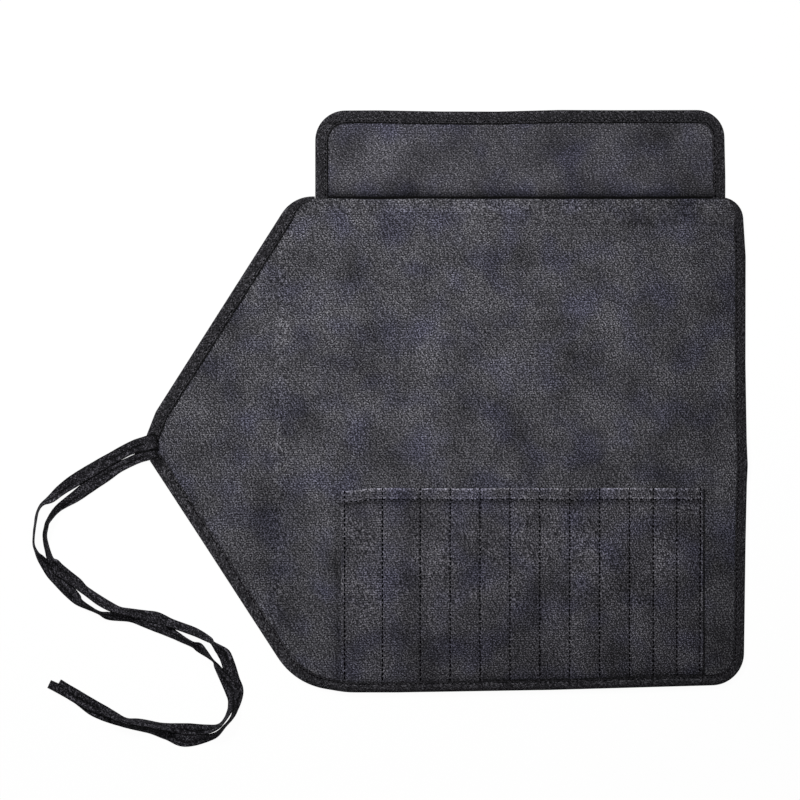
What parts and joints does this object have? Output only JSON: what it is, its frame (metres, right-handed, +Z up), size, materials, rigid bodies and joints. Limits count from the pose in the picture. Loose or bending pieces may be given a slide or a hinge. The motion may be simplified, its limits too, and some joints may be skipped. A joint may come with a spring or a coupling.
{
  "type": "brush roll",
  "caption": "Open cloth brush roll: a tapered body bound with tape, a row of narrow brush pockets, a flap that folds over the brush tips and two flat ties at the tip. Rolls up along its seams.",
  "frame": {"origin": "centre of the open roll on the surface that it lies on, the ties left out", "axes": "+X from the tip towards the right edge, +Y towards the flap, +Z up out of the pocket side"},
  "size_m": [0.5709, 0.5048, 0.0074],
  "materials": {
    "canvas": "heathered dark grey canvas, matt",
    "pocket_canvas": "heathered dark grey canvas, matt",
    "binding_tape": "black folded cotton tape, matt",
    "tie_tape": "black flat cotton tape, matt"
  },
  "bodies": {
    "strip_01": {"panel_01": "canvas", "lower_binding_01": "binding_tape", "upper_binding_01": "binding_tape", "upper_tie": "tie_tape", "lower_tie": "tie_tape"},
    "strip_02": {"panel_02": "canvas", "lower_binding_02": "binding_tape", "upper_binding_02": "binding_tape"},
    "strip_03": {"panel_03": "canvas", "lower_binding_03": "binding_tape", "upper_binding_03": "binding_tape"},
    "strip_04": {"panel_04": "canvas", "lower_binding_04": "binding_tape", "pocket_01": "pocket_canvas"},
    "strip_05": {"panel_05": "canvas", "lower_binding_05": "binding_tape", "pocket_02": "pocket_canvas"},
    "strip_06": {"panel_06": "canvas", "lower_binding_06": "binding_tape", "pocket_03": "pocket_canvas"},
    "strip_07": {"panel_07": "canvas", "lower_binding_07": "binding_tape", "pocket_04": "pocket_canvas"},
    "strip_08": {"panel_08": "canvas", "lower_binding_08": "binding_tape", "pocket_05": "pocket_canvas"},
    "strip_09": {"panel_09": "canvas", "lower_binding_09": "binding_tape", "pocket_06": "pocket_canvas"},
    "strip_10": {"panel_10": "canvas", "lower_binding_10": "binding_tape", "pocket_07": "pocket_canvas"},
    "strip_11": {"panel_11": "canvas", "lower_binding_11": "binding_tape", "pocket_08": "pocket_canvas"},
    "strip_12": {"panel_12": "canvas", "lower_binding_12": "binding_tape", "pocket_09": "pocket_canvas"},
    "strip_13": {"panel_13": "canvas", "lower_binding_13": "binding_tape", "pocket_10": "pocket_canvas", "pocket_11": "pocket_canvas"},
    "strip_14": {"panel_14": "canvas", "lower_binding_14": "binding_tape", "pocket_12": "pocket_canvas"},
    "strip_15": {"panel_15": "canvas", "right_binding": "binding_tape"},
    "flap_strip_03": {"flap_03": "canvas"},
    "flap_strip_04": {"flap_04": "canvas"},
    "flap_strip_05": {"flap_05": "canvas"},
    "flap_strip_06": {"flap_06": "canvas"},
    "flap_strip_07": {"flap_07": "canvas"},
    "flap_strip_08": {"flap_08": "canvas"},
    "flap_strip_09": {"flap_09": "canvas"},
    "flap_strip_10": {"flap_10": "canvas"},
    "flap_strip_11": {"flap_11": "canvas"},
    "flap_strip_12": {"flap_12": "canvas"},
    "flap_strip_13": {"flap_13": "canvas"},
    "flap_strip_14": {"flap_14": "canvas"},
    "flap_strip_15": {"flap_15": "canvas"}
  },
  "joints": [
    {"name": "roll", "type": "hinge", "parent": "strip_01", "child": "strip_02", "pos_m": [-0.1764, 0, 0.0019], "axis": [0, -1, 0], "range_deg": [0, 32]},
    {"name": "roll_03", "type": "hinge", "parent": "strip_02", "child": "strip_03", "pos_m": [-0.1308, 0, 0.0019], "axis": [0, -1, 0], "range_deg": [0, 66]},
    {"name": "roll_04", "type": "hinge", "parent": "strip_03", "child": "strip_04", "pos_m": [-0.0849, 0, 0.0019], "axis": [0, -1, 0], "range_deg": [0, 60]},
    {"name": "roll_05", "type": "hinge", "parent": "strip_04", "child": "strip_05", "pos_m": [-0.0514, 0, 0.0019], "axis": [0, -1, 0], "range_deg": [0, 49]},
    {"name": "roll_06", "type": "hinge", "parent": "strip_05", "child": "strip_06", "pos_m": [-0.0212, 0, 0.0019], "axis": [0, -1, 0], "range_deg": [0, 43]},
    {"name": "roll_07", "type": "hinge", "parent": "strip_06", "child": "strip_07", "pos_m": [0.0027, 0, 0.0019], "axis": [0, -1, 0], "range_deg": [0, 39]},
    {"name": "roll_08", "type": "hinge", "parent": "strip_07", "child": "strip_08", "pos_m": [0.0266, 0, 0.0019], "axis": [0, -1, 0], "range_deg": [0, 41]},
    {"name": "roll_09", "type": "hinge", "parent": "strip_08", "child": "strip_09", "pos_m": [0.0505, 0, 0.0019], "axis": [0, -1, 0], "range_deg": [0, 42]},
    {"name": "roll_10", "type": "hinge", "parent": "strip_09", "child": "strip_10", "pos_m": [0.0744, 0, 0.0019], "axis": [0, -1, 0], "range_deg": [0, 44]},
    {"name": "roll_11", "type": "hinge", "parent": "strip_10", "child": "strip_11", "pos_m": [0.0983, 0, 0.0019], "axis": [0, -1, 0], "range_deg": [0, 46]},
    {"name": "roll_12", "type": "hinge", "parent": "strip_11", "child": "strip_12", "pos_m": [0.1222, 0, 0.0019], "axis": [0, -1, 0], "range_deg": [0, 49]},
    {"name": "roll_13", "type": "hinge", "parent": "strip_12", "child": "strip_13", "pos_m": [0.1461, 0, 0.0019], "axis": [0, -1, 0], "range_deg": [0, 71]},
    {"name": "roll_14", "type": "hinge", "parent": "strip_13", "child": "strip_14", "pos_m": [0.1839, 0, 0.0019], "axis": [0, -1, 0], "range_deg": [0, 77]},
    {"name": "roll_15", "type": "hinge", "parent": "strip_14", "child": "strip_15", "pos_m": [0.2078, 0, 0.0019], "axis": [0, -1, 0], "range_deg": [0, 78]},
    {"name": "flap_fold", "type": "hinge", "parent": "strip_03", "child": "flap_strip_03", "pos_m": [-0.10785, 0.16274, 0.0019], "axis": [1, 0, 0], "range_deg": [0, 180]},
    {"name": "flap_fold_04", "type": "hinge", "parent": "strip_04", "child": "flap_strip_04", "pos_m": [-0.06815, 0.16274, 0.0019], "axis": [1, 0, 0], "range_deg": [0, 180]},
    {"name": "flap_fold_05", "type": "hinge", "parent": "strip_05", "child": "flap_strip_05", "pos_m": [-0.0363, 0.16274, 0.0019], "axis": [1, 0, 0], "range_deg": [0, 180]},
    {"name": "flap_fold_06", "type": "hinge", "parent": "strip_06", "child": "flap_strip_06", "pos_m": [-0.00925, 0.16274, 0.0019], "axis": [1, 0, 0], "range_deg": [0, 180]},
    {"name": "flap_fold_07", "type": "hinge", "parent": "strip_07", "child": "flap_strip_07", "pos_m": [0.01465, 0.16274, 0.0019], "axis": [1, 0, 0], "range_deg": [0, 180]},
    {"name": "flap_fold_08", "type": "hinge", "parent": "strip_08", "child": "flap_strip_08", "pos_m": [0.03855, 0.16274, 0.0019], "axis": [1, 0, 0], "range_deg": [0, 180]},
    {"name": "flap_fold_09", "type": "hinge", "parent": "strip_09", "child": "flap_strip_09", "pos_m": [0.06245, 0.16274, 0.0019], "axis": [1, 0, 0], "range_deg": [0, 180]},
    {"name": "flap_fold_10", "type": "hinge", "parent": "strip_10", "child": "flap_strip_10", "pos_m": [0.08635, 0.16274, 0.0019], "axis": [1, 0, 0], "range_deg": [0, 180]},
    {"name": "flap_fold_11", "type": "hinge", "parent": "strip_11", "child": "flap_strip_11", "pos_m": [0.11025, 0.16274, 0.0019], "axis": [1, 0, 0], "range_deg": [0, 180]},
    {"name": "flap_fold_12", "type": "hinge", "parent": "strip_12", "child": "flap_strip_12", "pos_m": [0.13415, 0.16274, 0.0019], "axis": [1, 0, 0], "range_deg": [0, 180]},
    {"name": "flap_fold_13", "type": "hinge", "parent": "strip_13", "child": "flap_strip_13", "pos_m": [0.165, 0.16274, 0.0019], "axis": [1, 0, 0], "range_deg": [0, 180]},
    {"name": "flap_fold_14", "type": "hinge", "parent": "strip_14", "child": "flap_strip_14", "pos_m": [0.19585, 0.16274, 0.0019], "axis": [1, 0, 0], "range_deg": [0, 180]},
    {"name": "flap_fold_15", "type": "hinge", "parent": "strip_15", "child": "flap_strip_15", "pos_m": [0.2239, 0.16274, 0.0019], "axis": [1, 0, 0], "range_deg": [0, 180]}
  ],
  "couplings": [
    {"joint": "roll_03", "follows": "roll", "ratio": 2.0625},
    {"joint": "roll_04", "follows": "roll", "ratio": 1.875},
    {"joint": "roll_05", "follows": "roll", "ratio": 1.5312},
    {"joint": "roll_06", "follows": "roll", "ratio": 1.3438},
    {"joint": "roll_07", "follows": "roll", "ratio": 1.2188},
    {"joint": "roll_08", "follows": "roll", "ratio": 1.2812},
    {"joint": "roll_09", "follows": "roll", "ratio": 1.3125},
    {"joint": "roll_10", "follows": "roll", "ratio": 1.375},
    {"joint": "roll_11", "follows": "roll", "ratio": 1.4375},
    {"joint": "roll_12", "follows": "roll", "ratio": 1.5312},
    {"joint": "roll_13", "follows": "roll", "ratio": 2.2188},
    {"joint": "roll_14", "follows": "roll", "ratio": 2.4062},
    {"joint": "roll_15", "follows": "roll", "ratio": 2.4375},
    {"joint": "flap_fold_04", "follows": "flap_fold", "ratio": 1},
    {"joint": "flap_fold_05", "follows": "flap_fold", "ratio": 1},
    {"joint": "flap_fold_06", "follows": "flap_fold", "ratio": 1},
    {"joint": "flap_fold_07", "follows": "flap_fold", "ratio": 1},
    {"joint": "flap_fold_08", "follows": "flap_fold", "ratio": 1},
    {"joint": "flap_fold_09", "follows": "flap_fold", "ratio": 1},
    {"joint": "flap_fold_10", "follows": "flap_fold", "ratio": 1},
    {"joint": "flap_fold_11", "follows": "flap_fold", "ratio": 1},
    {"joint": "flap_fold_12", "follows": "flap_fold", "ratio": 1},
    {"joint": "flap_fold_13", "follows": "flap_fold", "ratio": 1},
    {"joint": "flap_fold_14", "follows": "flap_fold", "ratio": 1},
    {"joint": "flap_fold_15", "follows": "flap_fold", "ratio": 1}
  ]
}
